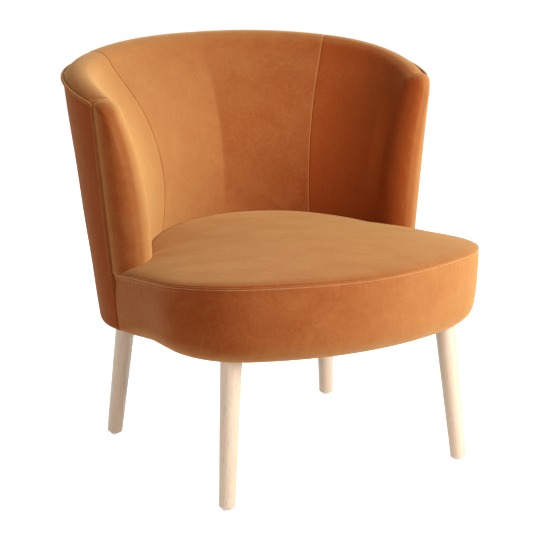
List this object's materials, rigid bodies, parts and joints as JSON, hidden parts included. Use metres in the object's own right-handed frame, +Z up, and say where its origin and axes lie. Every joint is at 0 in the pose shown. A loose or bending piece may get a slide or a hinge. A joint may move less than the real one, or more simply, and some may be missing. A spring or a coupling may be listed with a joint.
{
  "type": "upholstered chair",
  "caption": "Upholstered tub chair: a deep rounded seat wrapped by a padded horseshoe back with rolled arm fronts, on splayed turned wooden legs.",
  "frame": {"origin": "on the floor, under the middle of the chair's overall width and depth", "axes": "+Z up, -Y towards the front where the sitter's knees are, +X to the left hand of a person sitting in the chair, which is the right of the picture"},
  "size_m": [0.7144, 0.6777, 0.7325],
  "materials": {
    "velvet": "matte",
    "velvet_piping": "matte",
    "foam": "matte",
    "webbing": "matte",
    "felt": "matte",
    "plywood": "matte",
    "hardboard": "matte",
    "frame_beech": "matte",
    "leg_beech": "satin",
    "nickel": "satin",
    "zinc_steel": "satin",
    "dust_cloth": "matte"
  },
  "bodies": {
    "root": {"inside_cover_left": "velvet", "inside_cover_right": "velvet", "inside_cover_centre": "velvet", "outside_cover": "velvet", "seat_cover_top": "velvet", "seat_cover_border": "velvet", "rim_piping": "velvet_piping", "back_foam_left": "foam", "back_foam_right": "foam", "back_foam_centre": "foam", "seat_foam": "foam", "border_foam": "foam", "webbing_pad": "felt", "webbing_long": "webbing", "webbing_cross": "webbing", "lower_rail": "plywood", "tack_rail": "plywood", "top_rail": "plywood", "post_arm_left": "plywood", "post_arm_right": "plywood", "post_corner_left": "plywood", "post_corner_right": "plywood", "post_rear_left": "plywood", "post_rear_right": "plywood", "base_ring": "plywood", "top_ring": "plywood", "outside_board": "hardboard", "inner_lining": "hardboard", "border_board": "hardboard", "frame_rail_front": "frame_beech", "frame_rail_rear": "frame_beech", "frame_rail_left": "frame_beech", "frame_rail_right": "frame_beech", "leg_block_front_left": "frame_beech", "leg_block_front_right": "frame_beech", "leg_block_rear_left": "frame_beech", "leg_block_rear_right": "frame_beech", "leg_front_left": "leg_beech", "leg_front_right": "leg_beech", "leg_rear_left": "leg_beech", "leg_rear_right": "leg_beech", "glide_front_left": "nickel", "glide_front_right": "nickel", "glide_rear_left": "nickel", "glide_rear_right": "nickel", "post_screws": "zinc_steel", "leg_bolts": "zinc_steel", "tee_nuts": "zinc_steel", "dust_cover": "dust_cloth"}
  },
  "joints": []
}
